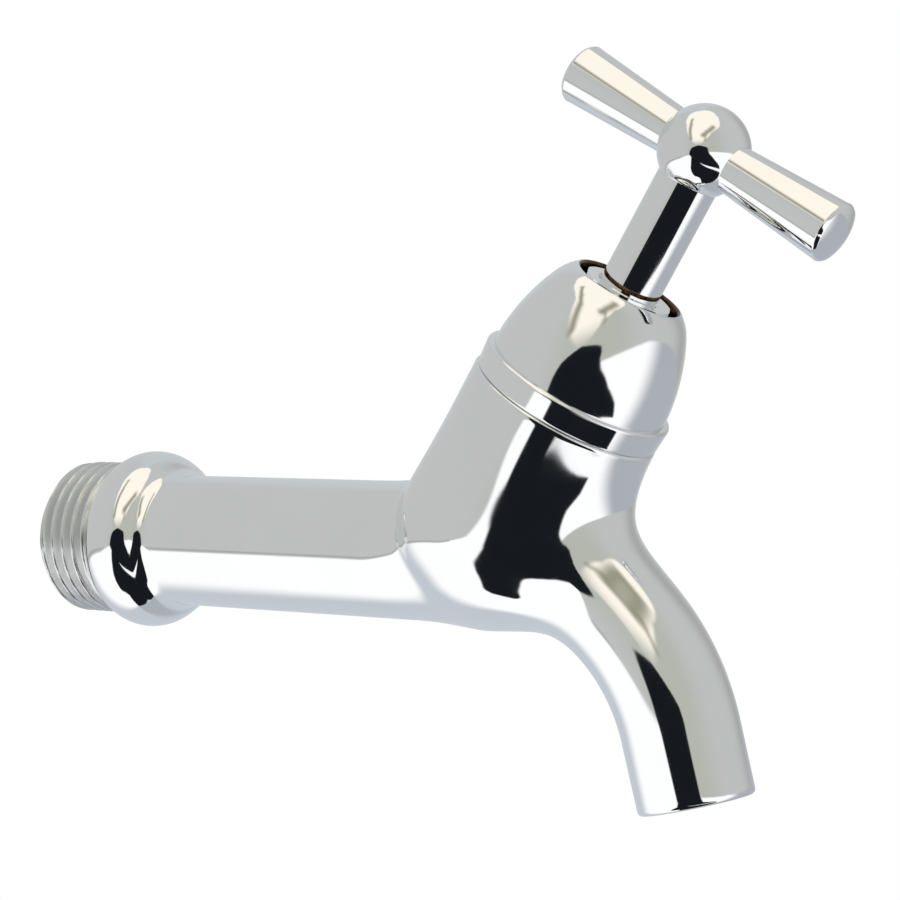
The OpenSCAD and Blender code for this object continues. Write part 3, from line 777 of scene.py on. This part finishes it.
# The gear is wide below and closes above the camera. A gap, through which the table
# shows, sinks and widens to the right as two decays run out.
gear = between(
    [-72, -66, -63, -59, -50, -40, -30, -20, -13, -7, 0, 4, 8, 10, 12, 14, 16],
    [-20, -34, -44, -47, -47, -44, -39, -36, -34, -39, -37, -35, -32, -28, -22, -14, -6],
    [80, 76, 73, 69, 60, 49, 40, 25, 18, 11, 7, 7, 5, 0, -8, -18, -28], width=2.5)
gap_left, gap_level, gap_lift, gap_lift_run = -14, -38, 10.5, 16
gap_width, gap_width_run = 6.4, 22
gap_top_soft, gap_low_soft, gap_left_soft = 0.5, 0.8, 2.0
gap_past = turn - gap_left
gap_run = np.maximum(gap_past, 0)
gap_top = gap_level + gap_lift * np.exp(-gap_run / gap_lift_run)
gap_low = gap_top - gap_width * (1 - np.exp(-gap_run / gap_width_run))
gap = edge(gap_top - rise, gap_top_soft) * edge(rise - gap_low, gap_low_soft)
gap = gap * edge(gap_past - gap_left_soft / 2, gap_left_soft)
glow = laid(glow, gear_black, gear * (1 - gap))

# The shell is a sphere: each turn and rise is a direction from its middle.
out = np.radians(turn) + camera_turn
up = np.radians(rise)
shell_points = studio_mid + studio_r * np.stack([
    np.sin(out) * np.cos(up), -np.cos(out) * np.cos(up), np.sin(up)], -1)
number = np.arange(turn.size).reshape(turn.shape)
shell_faces = np.stack(
    [number[:-1, :-1], number[1:, :-1], number[1:, 1:], number[:-1, 1:]], -1)
shell_mesh = bpy.data.meshes.new("studio_shell")
shell_mesh.from_pydata(
    shell_points.reshape(-1, 3).tolist(), [], shell_faces.reshape(-1, 4).tolist())
shell_glow = shell_mesh.attributes.new("glow", "FLOAT_COLOR", "POINT")
shell_colour = np.concatenate([glow, np.ones_like(glow[..., :1])], -1)
shell_glow.data.foreach_set("color", shell_colour.astype(np.float32).ravel())
shell_light = bpy.data.materials.new("studio_light")
shell_light.use_nodes = True
nodes, links = shell_light.node_tree.nodes, shell_light.node_tree.links
nodes.remove(nodes["Principled BSDF"])
painted = nodes.new("ShaderNodeAttribute")
painted.attribute_name = "glow"
lamp = nodes.new("ShaderNodeEmission")
links.new(painted.outputs["Color"], lamp.inputs["Color"])
links.new(lamp.outputs["Emission"], nodes["Material Output"].inputs["Surface"])
shell_mesh.materials.append(shell_light)
studio = bpy.data.objects.new("studio_shell", shell_mesh)
scene.collection.objects.link(studio)
studio.visible_camera = False

# The floor is a matt disc below the tap that fades to white towards its rim.
floor_x, floor_z, floor_r, floor_fade = 60.0, -130.0, 230.0, 50.0
floor_rings, floor_around = 30, 96
floor_out = np.linspace(0, floor_r, floor_rings)[:, None]
floor_angle = np.arange(floor_around) * 2 * np.pi / floor_around
floor_sheet = np.stack([
    floor_x + floor_out * np.cos(floor_angle),
    floor_out * np.sin(floor_angle),
    np.full((floor_rings, floor_around), floor_z)], -1)
floor = skinned("floor", [floor_sheet])
floor.visible_glossy = False
pale, tree, surface, place = new_finish("pale_floor", metallic=0.0)
nodes, links = tree.nodes, tree.links
surface.inputs["Base Color"].default_value = (0.93, 0.93, 0.93, 1.0)
surface.inputs["Roughness"].default_value = 0.9
white = nodes.new("ShaderNodeEmission")
white.inputs["Color"].default_value = (1.0, 1.0, 1.0, 1.0)
centre = nodes.new("ShaderNodeMapping")
centre.inputs["Location"].default_value = (-floor_x * mm, 0.0, -floor_z * mm)
links.new(place, centre.inputs["Vector"])
away = nodes.new("ShaderNodeVectorMath")
away.operation = "LENGTH"
links.new(centre.outputs["Vector"], away.inputs[0])
fade = nodes.new("ShaderNodeMapRange")
fade.inputs["From Min"].default_value = floor_fade * mm
fade.inputs["From Max"].default_value = floor_r * mm
links.new(away.outputs["Value"], fade.inputs["Value"])
mixed = nodes.new("ShaderNodeMixShader")
links.new(fade.outputs["Result"], mixed.inputs["Fac"])
links.new(surface.outputs["BSDF"], mixed.inputs[1])
links.new(white.outputs["Emission"], mixed.inputs[2])
links.new(mixed.outputs["Shader"], nodes["Material Output"].inputs["Surface"])
floor.data.materials.append(pale)

world = bpy.data.worlds.new("white_room")
scene.world = world
world.use_nodes = True
world.node_tree.nodes["Background"].inputs["Color"].default_value = (1.0, 1.0, 1.0, 1.0)
world.node_tree.nodes["Background"].inputs["Strength"].default_value = 1.0
